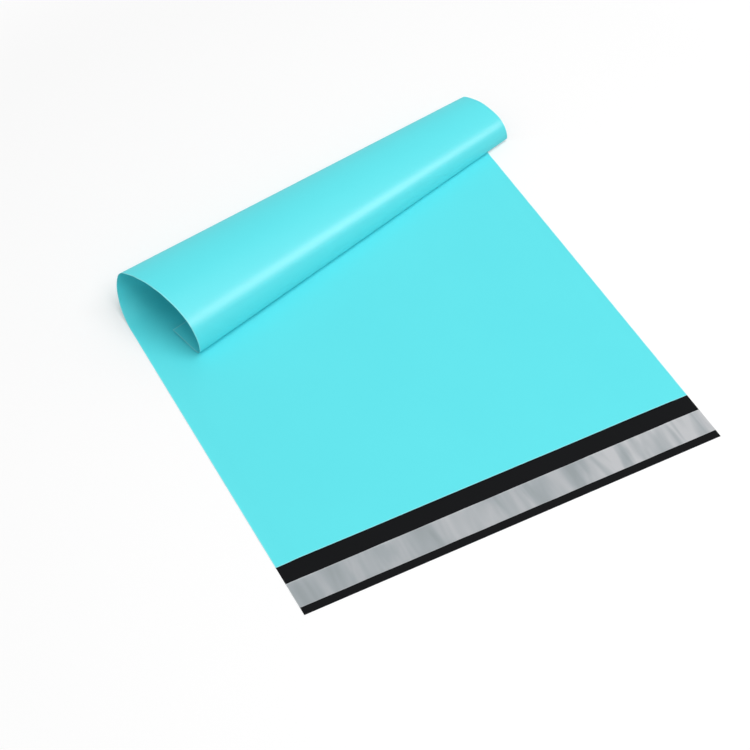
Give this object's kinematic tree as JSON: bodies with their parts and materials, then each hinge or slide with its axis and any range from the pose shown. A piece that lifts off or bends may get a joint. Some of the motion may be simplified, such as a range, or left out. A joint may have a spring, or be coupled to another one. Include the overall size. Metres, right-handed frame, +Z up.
{
  "type": "poly mailer bag",
  "caption": "Flat plastic film mailing bag with a self-seal lip and release liner, its bottom end rolled up and over in a slim cone.",
  "frame": {"origin": "on the floor, under the middle of the bag's box as it lies", "axes": "+X along the bag's width to its right side edge, +Y from the sealing lip to the rolled bottom end, +Z up out of the front panel"},
  "size_m": [0.391, 0.4266, 0.0476],
  "materials": {
    "film": "satin turquoise polyethylene film, black on the inside",
    "adhesive": "tacky, milky hot-melt strip",
    "liner": "satin silver-grey release film"
  },
  "bodies": {
    "root": {"bag_film": "film", "adhesive_strip": "adhesive", "release_liner": "liner"}
  },
  "joints": []
}
